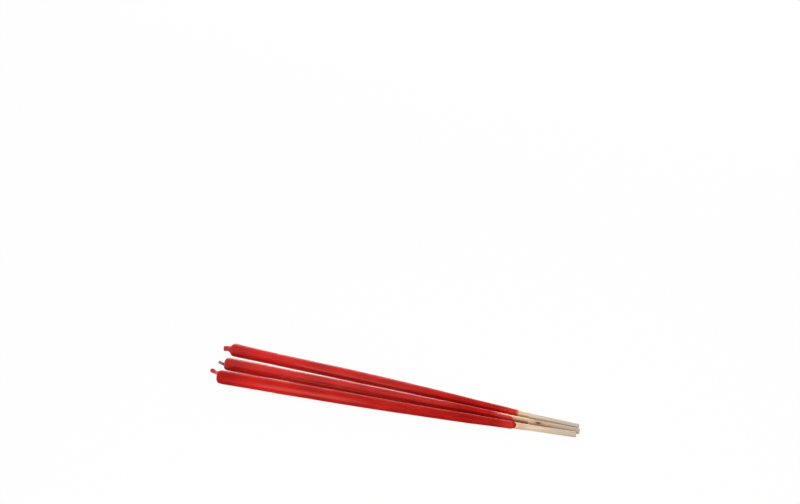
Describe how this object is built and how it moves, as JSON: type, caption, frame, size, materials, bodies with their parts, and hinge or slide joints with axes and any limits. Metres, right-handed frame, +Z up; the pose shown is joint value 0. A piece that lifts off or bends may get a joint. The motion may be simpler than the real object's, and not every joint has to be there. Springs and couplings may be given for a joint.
{
  "type": "wax stick set",
  "caption": "Slim hand-dipped red wax sticks, each with a cotton wick at one end and a bare round wooden handle at the other, lying on their sides in a narrow fan.",
  "frame": {"origin": "on the surface that the sticks lie on, under the middle of the set's bounding box", "axes": "+X along the middle stick towards the free end of its handle, +Z up from the surface, +Y towards the rear stick"},
  "size_m": [0.3292, 0.055, 0.0128],
  "materials": {
    "pale_wood": "matte",
    "cotton_wick": "matte",
    "undyed_wax": "satin",
    "red_wax": "satin"
  },
  "bodies": {
    "middle_stick": {"middle_wood_stick": "pale_wood", "middle_wick": "cotton_wick", "middle_core_wax": "undyed_wax", "middle_red_coat": "red_wax"},
    "rear_stick": {"rear_wood_stick": "pale_wood", "rear_wick": "cotton_wick", "rear_core_wax": "undyed_wax", "rear_red_coat": "red_wax"},
    "front_stick": {"front_wood_stick": "pale_wood", "front_wick": "cotton_wick", "front_core_wax": "undyed_wax", "front_red_coat": "red_wax"}
  },
  "joints": [
    {"name": "rear_stick_lift", "type": "slide", "parent": "middle_stick", "child": "rear_stick", "axis": [0, 0, 1], "range_m": [0, 0.06]},
    {"name": "front_stick_lift", "type": "slide", "parent": "middle_stick", "child": "front_stick", "axis": [0, 0, 1], "range_m": [0, 0.06]}
  ]
}
